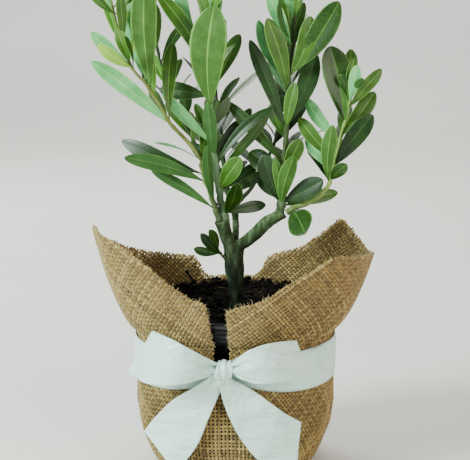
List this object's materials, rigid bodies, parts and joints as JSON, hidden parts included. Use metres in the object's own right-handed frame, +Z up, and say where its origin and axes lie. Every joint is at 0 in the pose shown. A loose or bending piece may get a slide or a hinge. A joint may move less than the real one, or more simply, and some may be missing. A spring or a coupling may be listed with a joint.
{
  "type": "potted young olive tree",
  "caption": "Young olive tree in a round nursery pot, wrapped in hessian cloth with raised flaps and tied with a ribbon bow",
  "frame": {"origin": "centre of the hessian's flat underside, where the pot stands", "axes": "+Z up along the pot, -Y towards the bow and the slit at the front, +X to the right of the front view"},
  "size_m": [0.1523, 0.1323, 0.2791],
  "materials": {
    "pot_plastic": "semi-gloss black",
    "compost": "dark moist peat compost",
    "jute_hessian": "coarse plain woven jute",
    "satin_ribbon": "satin white",
    "olive_bark": "smooth young bark",
    "olive_foliage": "leathery leaf with a paler underside"
  },
  "bodies": {
    "root": {"pot": "pot_plastic", "soil": "compost", "hessian_wrap": "jute_hessian", "ribbon_band": "satin_ribbon", "bow_knot": "satin_ribbon", "bow_loop_left": "satin_ribbon", "bow_loop_right": "satin_ribbon", "bow_tail_left": "satin_ribbon", "bow_tail_right": "satin_ribbon", "trunk": "olive_bark", "left_bough": "olive_bark", "right_bough": "olive_bark", "back_bough": "olive_bark", "left_shoot": "olive_foliage", "centre_shoot": "olive_foliage", "right_leader": "olive_foliage", "side_shoot": "olive_foliage", "back_shoot": "olive_foliage", "back_left_shoot": "olive_foliage", "back_right_shoot": "olive_foliage", "low_sprig": "olive_foliage"}
  },
  "joints": []
}
